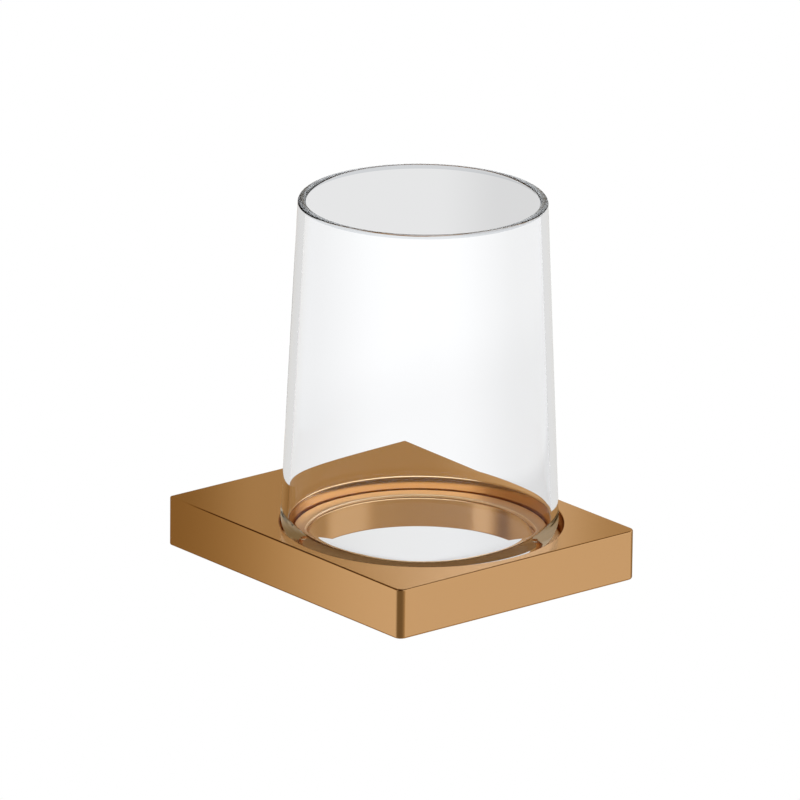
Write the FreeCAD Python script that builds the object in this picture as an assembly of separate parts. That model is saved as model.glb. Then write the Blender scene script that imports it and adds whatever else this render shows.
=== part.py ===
# Wall-mounted tumbler holder: a thick metal plate with a stepped hole, a drop-in glass tumbler, and the
# hidden fixings that hold the plate to a wall.
#
# Frame: millimetres. The wall is the plane y = 0, with the room on its -Y side. +Z is up and +X is to the
# right of someone facing the wall. The origin is the centre of the plate's rear face, in its mid-plane.
import FreeCAD, Part
import math
import os

os.makedirs("parts", exist_ok=True)

# ---- holder plate ----
PLATE_WIDTH = 88.0
PLATE_DEPTH = 106.0
PLATE_THICKNESS = 15.0
FRONT_CORNER_RADIUS = 2.5
REAR_CORNER_RADIUS = 0.8
TOP_EDGE_CHAMFER = 0.4
BOTTOM_EDGE_CHAMFER = 0.6
PLATE_TOP = PLATE_THICKNESS / 2
PLATE_BOTTOM = -PLATE_THICKNESS / 2

# ---- stepped hole that seats the tumbler ----
WEB = 3.0  # metal left between the recess and each of the plate's two sides and its front
RECESS_RADIUS = PLATE_WIDTH / 2 - WEB
HOLE_CENTRE_Y = -(PLATE_DEPTH - WEB - RECESS_RADIUS)
RECESS_DEPTH = 6.2
THROUGH_RADIUS = 34.0
LIP_CHAMFER = 0.4
LEDGE_Z = PLATE_TOP - RECESS_DEPTH

# ---- soft ring on the ledge, under the glass ----
RING_INNER_RADIUS = 34.4
RING_OUTER_RADIUS = 40.2
RING_THICKNESS = 1.0
SEAT_Z = LEDGE_Z + RING_THICKNESS

# ---- tumbler, which stands a little to one side in its loose seat ----
TUMBLER_SHIFT_X = -0.45
TUMBLER_SHIFT_Y = 0.4
TUMBLER_HEIGHT = 102.2
TUMBLER_BASE_RADIUS = 40.5
TUMBLER_RIM_RADIUS = 35.8
WALL_THICKNESS = 2.3
BASE_THICKNESS = 2.6
BASE_OUTER_CORNER_RADIUS = 7.0
BASE_INNER_CORNER_RADIUS = 6.5
BASE_CORNER_BANDS = 4  # cone bands that stand for each rounded corner, within 0.15 mm of it
RIM_CHAMFER = 0.6

# ---- wall bracket and the pocket milled for it in the rear of the plate ----
BRACKET_LENGTH = 65.4
BRACKET_HEIGHT = 9.4
BRACKET_DEPTH = 8.0
POCKET_LENGTH = 66.0
POCKET_HEIGHT = 10.0
POCKET_DEPTH = 10.0
BRACKET_Z = (POCKET_HEIGHT - BRACKET_HEIGHT) / 2

# ---- wall screws and plugs ----
WALL_SCREW_SPACING = 44.0
SCREW_RADIUS = 2.0
SCREW_LENGTH = 35.0
SCREW_HEAD_RADIUS = 3.9
SCREW_TIP_LENGTH = 3.5
SCREW_CLEARANCE_RADIUS = 2.3
PLUG_RELIEF_RADIUS = 3.3
PLUG_RELIEF_DEPTH = 0.6
HEAD_RECESS = 0.1
CROSS_RECESS_LENGTH = 4.2
CROSS_RECESS_WIDTH = 1.0
CROSS_RECESS_DEPTH = 1.9
PLUG_RADIUS = 3.0
PLUG_LENGTH = 30.0
PLUG_BORE_RADIUS = 1.85
PLUG_BORE_DEPTH = 28.6
PLUG_SLIT_WIDTH = 0.8
PLUG_SLIT_START = 9.0

# ---- set screws that clamp the plate to the bracket from below ----
GRUB_SPACING = 20.0
GRUB_RADIUS = 1.95
GRUB_TAPPED_RADIUS = 2.0
GRUB_CENTRE_Y = -4.0
GRUB_RECESS = 0.3
HEX_SOCKET_WIDTH = 2.0
HEX_SOCKET_DEPTH = 1.6

MARGIN = 1.0  # how far a cutting tool runs past the face that it cuts
FLANK = 0.01  # short straight stretch between the two arcs of a half-round end
TOLERANCE = 1e-6  # lengths under this count as nothing

Vector = FreeCAD.Vector
X_AXIS, Y_AXIS, Z_AXIS = Vector(1, 0, 0), Vector(0, 1, 0), Vector(0, 0, 1)


def rounding(corners, i, bands):
    """Points that round corner i of an outline of (u, v, radius).

    They are the start, middle and end of an arc where bands is 0, and otherwise the ends of that many bands.
    """
    u, v, radius = corners[i]
    corner = Vector(u, v, 0)
    if radius == 0:
        return [corner]
    before = Vector(*corners[i - 1][:2], 0) - corner
    after = Vector(*corners[(i + 1) % len(corners)][:2], 0) - corner
    before.normalize()
    after.normalize()
    inward = before + after
    inward.normalize()
    half_angle = before.getAngle(after) / 2
    centre = corner + inward * (radius / math.sin(half_angle))
    reach = radius / math.tan(half_angle)
    first, last = corner + before * reach - centre, corner + after * reach - centre
    sweep = math.pi - 2 * half_angle
    steps = bands or 2
    points = []
    for k in range(steps + 1):
        share = k / steps
        spoke = first * math.sin((1 - share) * sweep) + last * math.sin(share * sweep)
        points.append(centre + spoke * (1 / math.sin(sweep)))
    return points


def rounded_wire(corners, to_space, bands=0):
    """Closed wire through corners (u, v, radius); to_space turns (u, v) into a point.

    Each corner is rounded by its radius with one arc, or with as many straight bands as bands says.
    """
    stretches = [[to_space(p.x, p.y) for p in rounding(corners, i, bands)] for i in range(len(corners))]
    edges = []
    for i, points in enumerate(stretches):
        if bands == 0 and len(points) > 1:
            edges.append(Part.Arc(*points).toShape())
            points = points[-1:]
        following = stretches[(i + 1) % len(stretches)][0]
        for start, end in zip(points, points[1:] + [following]):
            if start.distanceToPoint(end) > TOLERANCE:
                edges.append(Part.LineSegment(start, end).toShape())
    return Part.Wire(edges)


def turned(corners, centre, axis, bands=0):
    """Solid of revolution: corners are (radius, distance along axis, rounding), about axis through centre."""
    sideways = Y_AXIS if axis == Z_AXIS else X_AXIS
    wire = rounded_wire(corners, lambda r, along: centre + sideways * r + axis * along, bands)
    return Part.Face(wire).revolve(centre, axis, 360)


def prism(corners, to_space, direction):
    """Straight extrusion of a rounded outline along direction."""
    return Part.Face(rounded_wire(corners, to_space)).extrude(direction)


def straight_edges_at(shape, height):
    """Edges that lie wholly in the horizontal plane at height, except those on the wall plane."""
    chosen = []
    for edge in shape.Edges:
        box = edge.BoundBox
        level = abs(box.ZMin - height) < TOLERANCE and abs(box.ZMax - height) < TOLERANCE
        if level and box.YMin < -TOLERANCE:
            chosen.append(edge)
    return chosen


def obround(length, height, z_centre, y_from, y_to):
    """Bar or pocket with half-round ends, its length along X and its depth along Y."""
    half, tall = length / 2, height / 2
    radius = tall - FLANK
    corners = [(-half, z_centre - tall, radius), (half, z_centre - tall, radius),
               (half, z_centre + tall, radius), (-half, z_centre + tall, radius)]
    return prism(corners, lambda x, z: Vector(x, y_from, z), Y_AXIS * (y_to - y_from))


def plate_blank():
    """The plate's outer block: rounded upright corners, and softened edges above and below."""
    half = PLATE_WIDTH / 2
    corners = [(-half, 0, REAR_CORNER_RADIUS), (-half, -PLATE_DEPTH, FRONT_CORNER_RADIUS),
               (half, -PLATE_DEPTH, FRONT_CORNER_RADIUS), (half, 0, REAR_CORNER_RADIUS)]
    block = prism(corners, lambda x, y: Vector(x, y, PLATE_BOTTOM), Z_AXIS * PLATE_THICKNESS)
    block = block.makeChamfer(BOTTOM_EDGE_CHAMFER, straight_edges_at(block, PLATE_BOTTOM))
    return block.makeChamfer(TOP_EDGE_CHAMFER, straight_edges_at(block, PLATE_TOP))


def stepped_hole():
    """The tool that cuts the tumbler's recess, its ledge and the opening below it."""
    lip, over = LIP_CHAMFER, MARGIN
    corners = [(0, PLATE_BOTTOM - over, 0),
               (THROUGH_RADIUS + lip + over, PLATE_BOTTOM - over, 0),
               (THROUGH_RADIUS, PLATE_BOTTOM + lip, 0),
               (THROUGH_RADIUS, LEDGE_Z, 0),
               (RECESS_RADIUS - lip, LEDGE_Z, 0),
               (RECESS_RADIUS, LEDGE_Z + lip, 0),
               (RECESS_RADIUS, PLATE_TOP - lip, 0),
               (RECESS_RADIUS + lip + over, PLATE_TOP + over, 0),
               (0, PLATE_TOP + over, 0)]
    return turned(corners, Vector(0, HOLE_CENTRE_Y, 0), Z_AXIS)


def holder_plate():
    """The metal plate: stepped hole for the tumbler, pocket for the bracket, two tapped holes from below."""
    plate = plate_blank().cut(stepped_hole())
    plate = plate.cut(obround(POCKET_LENGTH, POCKET_HEIGHT, 0, -POCKET_DEPTH, MARGIN))
    for side in (-1, 1):
        start = Vector(side * GRUB_SPACING / 2, GRUB_CENTRE_Y, PLATE_BOTTOM - MARGIN)
        drill = Part.makeCylinder(GRUB_TAPPED_RADIUS, PLATE_THICKNESS / 2 + MARGIN, start, Z_AXIS)
        plate = plate.cut(drill)
    return plate


def seat_ring():
    """Flat soft ring that keeps the glass off the metal ledge."""
    corners = [(RING_INNER_RADIUS, LEDGE_Z, 0), (RING_OUTER_RADIUS, LEDGE_Z, 0),
               (RING_OUTER_RADIUS, SEAT_Z, 0), (RING_INNER_RADIUS, SEAT_Z, 0)]
    return turned(corners, Vector(0, HOLE_CENTRE_Y, 0), Z_AXIS)


def tumbler():
    """Glass tumbler: widest at its thick, round-cornered base and tapering to a rim with broken edges."""
    rim_z = SEAT_Z + TUMBLER_HEIGHT
    floor_z = SEAT_Z + BASE_THICKNESS
    floor_radius = TUMBLER_BASE_RADIUS - WALL_THICKNESS
    inner_rim_radius = TUMBLER_RIM_RADIUS - WALL_THICKNESS
    corners = [(0, SEAT_Z, 0),
               (TUMBLER_BASE_RADIUS, SEAT_Z, BASE_OUTER_CORNER_RADIUS),
               (TUMBLER_RIM_RADIUS, rim_z - RIM_CHAMFER, 0), (TUMBLER_RIM_RADIUS - RIM_CHAMFER, rim_z, 0),
               (inner_rim_radius + RIM_CHAMFER, rim_z, 0), (inner_rim_radius, rim_z - RIM_CHAMFER, 0),
               (floor_radius, floor_z, BASE_INNER_CORNER_RADIUS), (0, floor_z, 0)]
    centre = Vector(TUMBLER_SHIFT_X, HOLE_CENTRE_Y + TUMBLER_SHIFT_Y, 0)
    return turned(corners, centre, Z_AXIS, BASE_CORNER_BANDS)


def wall_bracket():
    """Round-ended bar that fills the plate's rear pocket; reliefs in its rear face keep it off the plugs."""
    bar = obround(BRACKET_LENGTH, BRACKET_HEIGHT, BRACKET_Z, -BRACKET_DEPTH, 0)
    for side in (-1, 1):
        front = Vector(side * WALL_SCREW_SPACING / 2, -BRACKET_DEPTH, BRACKET_Z)
        bar = bar.cut(Part.makeCylinder(SCREW_CLEARANCE_RADIUS, BRACKET_DEPTH, front, Y_AXIS))
        mouth = SCREW_HEAD_RADIUS + HEAD_RECESS + MARGIN
        bar = bar.cut(Part.makeCone(mouth, 0, mouth, front - Y_AXIS * MARGIN, Y_AXIS))
        relief = front + Y_AXIS * (BRACKET_DEPTH - PLUG_RELIEF_DEPTH)
        bar = bar.cut(Part.makeCylinder(PLUG_RELIEF_RADIUS, PLUG_RELIEF_DEPTH + MARGIN, relief, Y_AXIS))
    return bar


def wall_screw(x):
    """Countersunk wall screw with a cross recess; its head sits flush in the bracket."""
    head_y = -BRACKET_DEPTH + HEAD_RECESS
    neck = SCREW_HEAD_RADIUS - SCREW_RADIUS
    taper_start = SCREW_LENGTH - SCREW_TIP_LENGTH
    corners = [(0, 0, 0), (SCREW_HEAD_RADIUS, 0, 0), (SCREW_RADIUS, neck, 0),
               (SCREW_RADIUS, taper_start, 0), (0, SCREW_LENGTH, 0)]
    centre = Vector(x, head_y, BRACKET_Z)
    screw = turned(corners, centre, Y_AXIS)
    long, narrow = CROSS_RECESS_LENGTH, CROSS_RECESS_WIDTH
    for size_x, size_z in ((long, narrow), (narrow, long)):
        slot = Part.makeBox(size_x, CROSS_RECESS_DEPTH + MARGIN, size_z,
                            centre - Vector(size_x / 2, MARGIN, size_z / 2))
        screw = screw.cut(slot)
    return screw


def wall_plug(x):
    """Expansion plug set flush in the wall; the screw presses into its bore and spreads its slit halves."""
    mouth = Vector(x, 0, BRACKET_Z)
    plug = Part.makeCylinder(PLUG_RADIUS, PLUG_LENGTH, mouth, Y_AXIS)
    plug = plug.cut(Part.makeCylinder(PLUG_BORE_RADIUS, PLUG_BORE_DEPTH, mouth, Y_AXIS))
    slit_length = PLUG_BORE_DEPTH - PLUG_SLIT_START - MARGIN
    slit = Part.makeBox(2 * PLUG_RADIUS + 2 * MARGIN, slit_length, PLUG_SLIT_WIDTH,
                        mouth + Vector(-PLUG_RADIUS - MARGIN, PLUG_SLIT_START, -PLUG_SLIT_WIDTH / 2))
    return plug.cut(slit)


def grub_screw(x):
    """Flat-point set screw with a hexagon socket, driven up against the bracket's underside."""
    start_z = PLATE_BOTTOM + GRUB_RECESS
    centre = Vector(x, GRUB_CENTRE_Y, start_z)
    screw = Part.makeCylinder(GRUB_RADIUS, BRACKET_Z - BRACKET_HEIGHT / 2 - start_z, centre, Z_AXIS)
    corner_radius = HEX_SOCKET_WIDTH / math.sqrt(3)
    hexagon = [(corner_radius * math.cos(i * math.pi / 3), corner_radius * math.sin(i * math.pi / 3), 0)
               for i in range(6)]
    below = centre - Z_AXIS * MARGIN
    socket = prism(hexagon, lambda u, v: below + Vector(u, v, 0), Z_AXIS * (HEX_SOCKET_DEPTH + MARGIN))
    return screw.cut(socket)


def sub_parts():
    """Every piece of the object by its name."""
    pieces = {"holder_plate": holder_plate(), "seat_ring": seat_ring(), "tumbler": tumbler(),
              "wall_bracket": wall_bracket()}
    for name, side in (("left", -1), ("right", 1)):
        pieces["wall_screw_" + name] = wall_screw(side * WALL_SCREW_SPACING / 2)
        pieces["wall_plug_" + name] = wall_plug(side * WALL_SCREW_SPACING / 2)
        pieces["grub_screw_" + name] = grub_screw(side * GRUB_SPACING / 2)
    return pieces


for node, shape in sub_parts().items():
    if len(shape.Solids) != 1 or not shape.isValid():
        raise RuntimeError(node + " is not one valid solid")
    shape.Solids[0].exportStep("parts/" + node + ".step")
    box = shape.BoundBox
    print(f"{node}: {shape.Volume / 1000:.2f} cm3, x {box.XMin:.1f}..{box.XMax:.1f},"
          f" y {box.YMin:.1f}..{box.YMax:.1f}, z {box.ZMin:.1f}..{box.ZMax:.1f}")
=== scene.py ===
import logging
import math
from dataclasses import dataclass
from enum import Enum

import bmesh
import bpy
import numpy as np
from mathutils import Matrix, Vector
from mathutils.geometry import tessellate_polygon

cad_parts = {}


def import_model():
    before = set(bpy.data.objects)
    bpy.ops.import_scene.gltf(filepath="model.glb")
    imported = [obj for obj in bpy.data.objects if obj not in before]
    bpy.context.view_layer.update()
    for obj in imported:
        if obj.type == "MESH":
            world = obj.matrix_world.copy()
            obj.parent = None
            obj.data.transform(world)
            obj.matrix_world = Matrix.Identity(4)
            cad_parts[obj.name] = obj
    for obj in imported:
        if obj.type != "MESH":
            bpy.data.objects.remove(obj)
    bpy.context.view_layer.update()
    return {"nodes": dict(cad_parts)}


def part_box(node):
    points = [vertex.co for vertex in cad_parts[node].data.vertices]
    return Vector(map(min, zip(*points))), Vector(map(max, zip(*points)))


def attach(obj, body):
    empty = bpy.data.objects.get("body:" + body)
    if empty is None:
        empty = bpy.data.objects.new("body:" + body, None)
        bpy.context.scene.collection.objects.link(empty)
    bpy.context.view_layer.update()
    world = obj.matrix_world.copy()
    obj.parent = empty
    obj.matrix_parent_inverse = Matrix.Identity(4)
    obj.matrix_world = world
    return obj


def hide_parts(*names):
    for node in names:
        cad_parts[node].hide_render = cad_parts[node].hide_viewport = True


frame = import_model()

MM = 0.001
FINE_BUMP = 0.00002
TURNED_BACK = 0.97
LOG = logging.getLogger("tumbler_holder")
Corner = tuple[float, float, float]
Patch = tuple[np.ndarray, list]


class Slot(Enum):
    """Names of the material slots."""

    PLATE = "plate_metal"
    GLASS = "tumbler_glass"
    SEAT = "seat_silicone"
    BRACKET = "bracket_steel"
    SCREW = "screw_steel"
    PLUG = "plug_nylon"
    GRUB = "grub_steel"


class Body(Enum):
    """The bodies that pieces ride on."""

    HOLDER = "holder"
    GLASS = "glass"


# ---------------------------------------------------------------------------------------------- surfaces


def grid_faces(rows: int, columns: int, close_columns: bool) -> list:
    """Four-cornered faces of a grid of points laid out row by row.

    Args:
        rows: number of rows of points.
        columns: number of points in a row.
        close_columns: whether the last column joins the first.

    Returns:
        Faces as lists of point numbers, each turning from a column to the next and then to the next row.
    """
    numbers = np.arange(rows * columns).reshape(rows, columns)
    if close_columns:
        numbers = np.concatenate([numbers, numbers[:, :1]], axis=1)
    quads = np.stack([numbers[:-1, :-1], numbers[:-1, 1:], numbers[1:, 1:], numbers[1:, :-1]], axis=-1)
    return quads.reshape(-1, 4).tolist()


def border_edges(quads: list, rows: int, columns: int) -> list:
    """Edges of openings inside a grid: those that only one face uses, apart from its first and last rows.

    Args:
        quads: the grid's faces.
        rows: number of rows of points.
        columns: number of points in a row.

    Returns:
        Pairs of point numbers.
    """
    ends = np.array(quads)
    edges = np.concatenate([np.stack([ends[:, k], ends[:, (k + 1) % 4]], axis=1) for k in range(4)])
    unique, times = np.unique(np.sort(edges, axis=1), axis=0, return_counts=True)
    single = unique[times == 1]
    inside = (single.min(axis=1) >= columns) & (single.max(axis=1) < (rows - 1) * columns)
    return single[inside].tolist()


def rounded_path(corners: list[Corner], closed: bool, arc_points: int) -> np.ndarray:
    """Flat path whose corners are rounded by arcs.

    A corner of radius r and half angle h has its arc's centre at r / sin(h) along the bisector of its sides.
    The arc's points stand at equal turns from the foot of one normal to the foot of the other.

    Args:
        corners: (u, v, radius) of each corner; a radius of 0 keeps it sharp.
        closed: whether the path returns to its first corner.
        arc_points: number of points on each arc.

    Returns:
        Points of the path, one row (u, v) each.
    """
    count = len(corners)
    pieces = []
    for i, (u, v, radius) in enumerate(corners):
        corner = np.array([u, v])
        if radius == 0 or (not closed and i in (0, count - 1)):
            pieces.append(corner[None])
            continue
        before = np.array(corners[i - 1][:2]) - corner
        after = np.array(corners[(i + 1) % count][:2]) - corner
        before, after = before / np.linalg.norm(before), after / np.linalg.norm(after)
        half = math.acos(float(np.clip(before @ after, -1, 1))) / 2
        inward = (before + after) / np.linalg.norm(before + after)
        centre = corner + inward * radius / math.sin(half)
        start = corner + before * radius / math.tan(half) - centre
        end = corner + after * radius / math.tan(half) - centre
        turn = math.pi - 2 * half
        t = np.linspace(0, 1, arc_points)[:, None]
        pieces.append(centre + (np.sin((1 - t) * turn) * start + np.sin(t * turn) * end) / math.sin(turn))
    return np.concatenate(pieces)


def turned(profile: np.ndarray, centre: np.ndarray, axis: int, count: int) -> Patch:
    """Surface of revolution: every profile point (radius, height) goes round the axis at equal steps.

    Args:
        profile: points (radius, distance along the axis), in metres.
        centre: a point on the axis.
        axis: 1 for an axis along +Y, 2 for one along +Z.
        count: number of steps round the axis.

    Returns:
        Points and faces.
    """
    angle = np.linspace(0, 2 * np.pi, count, endpoint=False)
    radius, along = profile[:, :1], profile[:, 1:]
    points = np.zeros((len(profile), count, 3))
    first, second = (0, 1) if axis == 2 else (2, 0)
    points[..., first] = radius * np.cos(angle)
    points[..., second] = radius * np.sin(angle)
    points[..., axis] = along
    return (points + centre).reshape(-1, 3), grid_faces(len(profile), count, True)


def flat_patch(loops: list[np.ndarray]) -> Patch:
    """Flat face with holes: the first loop is its outline and the others are its holes.

    Args:
        loops: closed loops of points in one plane.

    Returns:
        Points and triangles.
    """
    chains = [[Vector(p) for p in loop] for loop in loops]
    return np.concatenate(loops), [list(t) for t in tessellate_polygon(chains)]


def swept_ring(loop: np.ndarray, outward: np.ndarray, section: np.ndarray) -> np.ndarray:
    """A section carried round a level loop: point = loop point - outward * inset + up * height.

    Args:
        loop: points (x, y) of the loop.
        outward: unit outward direction (x, y) at each of them.
        section: points (inset, height) of the section.

    Returns:
        Points as an array of section rows by loop columns by 3.
    """
    level = loop[None] - outward[None] * section[:, None, :1]
    height = np.broadcast_to(section[:, None, 1:], (len(section), len(loop), 1))
    return np.concatenate([level, height], axis=-1)


def loop_outward(loop: np.ndarray) -> np.ndarray:
    """Unit outward direction at each point of a loop that runs anticlockwise: its tangent turned right."""
    ahead, behind = np.roll(loop, -1, axis=0) - loop, loop - np.roll(loop, 1, axis=0)
    ahead /= np.linalg.norm(ahead, axis=1)[:, None]
    behind /= np.linalg.norm(behind, axis=1)[:, None]
    tangent = ahead + behind
    normal = np.stack([tangent[:, 1], -tangent[:, 0]], axis=1)
    return normal / np.linalg.norm(normal, axis=1)[:, None]


def circle(x: float, y: float, radius: float, count: int) -> np.ndarray:
    """Points (x, y) at equal steps round a circle."""
    angle = np.linspace(0, 2 * np.pi, count, endpoint=False)
    return np.stack([x + radius * np.cos(angle), y + radius * np.sin(angle)], axis=1)


def lifted(loop: np.ndarray, height: float) -> np.ndarray:
    """A level loop (x, y) as points at one height."""
    return np.column_stack([loop, np.full(len(loop), height)])


def mouth_centre(low: np.ndarray, high: np.ndarray) -> np.ndarray:
    """Middle of a box's face at its lowest Y, where a screw or plug starts."""
    return np.array([(low[0] + high[0]) / 2, low[1], (low[2] + high[2]) / 2])


def make_piece(name: str, patches: list[Patch], sharp_degrees: float = 35.0) -> bpy.types.Object:
    """One closed mesh from patches that share their borders.

    Args:
        name: name of the piece.
        patches: points and faces of each patch.
        sharp_degrees: edges that turn by more than this stay sharp.

    Returns:
        The new object, at the origin.
    """
    mesh = bpy.data.meshes.new(name)
    built = bmesh.new()
    for points, faces in patches:
        corners = [built.verts.new(p) for p in points.tolist()]
        for face in faces:
            ring = [corners[i] for i in face]
            built.faces.new(ring)
    bmesh.ops.remove_doubles(built, verts=built.verts, dist=1e-7)
    bmesh.ops.dissolve_degenerate(built, edges=built.edges, dist=1e-8)
    bmesh.ops.recalc_face_normals(built, faces=built.faces)
    built.to_mesh(mesh)
    built.free()
    mesh.shade_smooth()
    mesh.set_sharp_from_angle(angle=math.radians(sharp_degrees))
    piece = bpy.data.objects.new(name, mesh)
    bpy.context.scene.collection.objects.link(piece)
    weighted = piece.modifiers.new("even_shading", "WEIGHTED_NORMAL")
    weighted.keep_sharp = True
    return piece


# ---------------------------------------------------------------------------------------------- materials


class NodeTree:
    """A short way to build the nodes of a material or a group."""

    def __init__(self, tree: bpy.types.NodeTree) -> None:
        """Keep the tree that nodes are added to."""
        self.tree = tree

    def add(self, kind: str, settings: dict | None = None, **inputs) -> bpy.types.Node:
        """Add one node.

        Args:
            kind: the node's type.
            settings: properties of the node itself.
            inputs: values or other nodes' outputs for its inputs, by name with _ for a space.

        Returns:
            The new node.
        """
        node = self.tree.nodes.new(kind)
        for key, value in (settings or {}).items():
            setattr(node, key, value)
        for key, value in inputs.items():
            place = int(key[1:]) if key[0] == "i" and key[1:].isdigit() else key.replace("_", " ")
            if isinstance(value, bpy.types.NodeSocket):
                self.tree.links.new(value, node.inputs[place])
            else:
                node.inputs[place].default_value = value
        return node

    def math(self, operation: str, first, second=0.0, third=0.0) -> bpy.types.NodeSocket:
        """Output of one Math node on up to three values or sockets."""
        node = self.add("ShaderNodeMath", {"operation": operation}, i0=first, i1=second, i2=third)
        return node.outputs[0]

    def link(self, out: bpy.types.NodeSocket, into: bpy.types.NodeSocket) -> None:
        """Join two sockets."""
        self.tree.links.new(out, into)


def new_material(name: str) -> tuple[bpy.types.Material, NodeTree, bpy.types.Node]:
    """An empty material with a Principled BSDF.

    Args:
        name: name of the material.

    Returns:
        The material, its node builder and the shader node.
    """
    material = bpy.data.materials.new(name)
    material.use_nodes = True
    tree = NodeTree(material.node_tree)
    material.node_tree.nodes.clear()
    shader = tree.add("ShaderNodeBsdfPrincipled")
    output = tree.add("ShaderNodeOutputMaterial")
    tree.link(shader.outputs[0], output.inputs["Surface"])
    return material, tree, shader


def show(material: bpy.types.Material, shader: bpy.types.Node) -> None:
    """Make a shader node the one that the material's output shows."""
    output = next(n for n in material.node_tree.nodes if n.type == "OUTPUT_MATERIAL")
    material.node_tree.links.new(shader.outputs[0], output.inputs["Surface"])


def smooth_step(tree: NodeTree, value: bpy.types.NodeSocket, start: float, end: float, low: float,
                high: float) -> bpy.types.NodeSocket:
    """Output of a Map Range node that goes smoothly from low at start to high at end."""
    node = tree.add("ShaderNodeMapRange", {"interpolation_type": "SMOOTHSTEP"}, Value=value, From_Min=start,
                    From_Max=end, To_Min=low, To_Max=high)
    return node.outputs[0]


def plain_grey(tree: NodeTree, level) -> bpy.types.NodeSocket:
    """A neutral colour of one level, a value or a socket."""
    return tree.add("ShaderNodeCombineColor", Red=level, Green=level, Blue=level).outputs[0]


def satin_group() -> bpy.types.NodeTree:
    """Shared effect of a satin metal: fine grain, slow cloudiness and a height for a bump.

    The tone is 1 plus a cloud that varies over centimetres. The roughness adds that cloud and a fine grain.

    Returns:
        The group, with inputs Roughness, Grain Size, Grain, Cloud and outputs Roughness, Tone and Height.
    """
    group = bpy.data.node_groups.new("satin_surface", "ShaderNodeTree")
    for name, default in (("Roughness", 0.25), ("Grain Size", 9000.0), ("Grain", 0.05), ("Cloud", 0.02)):
        socket = group.interface.new_socket(name, in_out="INPUT", socket_type="NodeSocketFloat")
        socket.default_value = default
    for name in ("Roughness", "Tone", "Height"):
        group.interface.new_socket(name, in_out="OUTPUT", socket_type="NodeSocketFloat")
    tree = NodeTree(group)
    given = tree.add("NodeGroupInput")
    place = tree.add("ShaderNodeTexCoord").outputs["Object"]
    fine = tree.add("ShaderNodeTexNoise", Vector=place, Scale=given.outputs["Grain Size"], Detail=2.0)
    slow = tree.add("ShaderNodeTexNoise", Vector=place, Scale=38.0, Detail=3.0)
    grain = tree.math("MULTIPLY", tree.math("SUBTRACT", fine.outputs[0], 0.5), given.outputs["Grain"])
    cloud = tree.math("MULTIPLY", tree.math("SUBTRACT", slow.outputs[0], 0.5), given.outputs["Cloud"])
    rough = tree.math("ADD", given.outputs["Roughness"], tree.math("ADD", grain, cloud))
    result = tree.add("NodeGroupOutput")
    tree.link(rough, result.inputs["Roughness"])
    tree.link(tree.math("ADD", 1.0, cloud), result.inputs["Tone"])
    tree.link(fine.outputs[0], result.inputs["Height"])
    return group


def satin_node(tree: NodeTree, group: bpy.types.NodeTree, **values: float) -> bpy.types.Node:
    """The shared satin group in a material, with some of its inputs set, by name with _ for a space."""
    return tree.add("ShaderNodeGroup", {"node_tree": group}, **values)


def paint(tree: NodeTree, shader: bpy.types.Node, colour: tuple[float, float, float],
          tone: bpy.types.NodeSocket, rough: bpy.types.NodeSocket) -> None:
    """Give a shader a colour multiplied by a tone, and a roughness."""
    tinted = tree.add("ShaderNodeMix", {"data_type": "RGBA", "blend_type": "MULTIPLY"}, i0=1.0, i7=tone)
    tinted.inputs[6].default_value = (*colour, 1.0)
    tree.link(tinted.outputs[2], shader.inputs["Base Color"])
    tree.link(rough, shader.inputs["Roughness"])


def raise_surface(tree: NodeTree, shader: bpy.types.Node, strength: float, distance: float,
                  height: bpy.types.NodeSocket) -> bpy.types.NodeSocket:
    """Give a shader a bump, and return the bump's normal."""
    bump = tree.add("ShaderNodeBump", Strength=strength, Distance=distance, Height=height)
    tree.link(bump.outputs[0], shader.inputs["Normal"])
    return bump.outputs[0]


def warm_group() -> bpy.types.NodeTree:
    """Colour of what the metal mirrors: a shade s gives red s, green s to the power 1.3 and blue s squared.

    White stays white, and what is darker turns brown, as bronze does where it mirrors itself.

    Returns:
        The group, with input Shade and output Color.
    """
    group = bpy.data.node_groups.new("warm_shade", "ShaderNodeTree")
    group.interface.new_socket("Shade", in_out="INPUT", socket_type="NodeSocketFloat")
    group.interface.new_socket("Color", in_out="OUTPUT", socket_type="NodeSocketColor")
    tree = NodeTree(group)
    shade = tree.add("NodeGroupInput").outputs[0]
    green, blue = tree.math("POWER", shade, 1.3), tree.math("POWER", shade, 2.0)
    mixed = tree.add("ShaderNodeCombineColor", Red=shade, Green=green, Blue=blue)
    tree.link(mixed.outputs[0], tree.add("NodeGroupOutput").inputs[0])
    return group


@dataclass(frozen=True)
class SatinMetal:
    """A satin metal finish.

    Attributes:
        name: name of the material.
        colour: colour of the metal, linear.
        roughness: mean roughness.
        grain_size: scale of the fine grain.
        bump: strength of the grain's bump.
        edge_tint: how much of the reflection stays at grazing angles.
    """

    name: str
    colour: tuple[float, float, float]
    roughness: float = 0.25
    grain_size: float = 9000.0
    bump: float = 0.02
    edge_tint: tuple[float, float, float] = (0.92, 0.82, 0.71)

    def tone(self, tree: NodeTree, satin: bpy.types.Node) -> bpy.types.NodeSocket:
        """Tone that the colour is multiplied by: the group's own."""
        return satin.outputs["Tone"]

    def material(self, group: bpy.types.NodeTree) -> bpy.types.Material:
        """Build the material around the shared satin group."""
        material, tree, shader = new_material(self.name)
        satin = satin_node(tree, group, Roughness=self.roughness, Grain_Size=self.grain_size)
        paint(tree, shader, self.colour, self.tone(tree, satin), satin.outputs["Roughness"])
        raise_surface(tree, shader, self.bump, FINE_BUMP, satin.outputs["Height"])
        shader.inputs["Metallic"].default_value = 1.0
        shader.inputs["Specular Tint"].default_value = (*self.edge_tint, 1.0)
        return material


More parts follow.
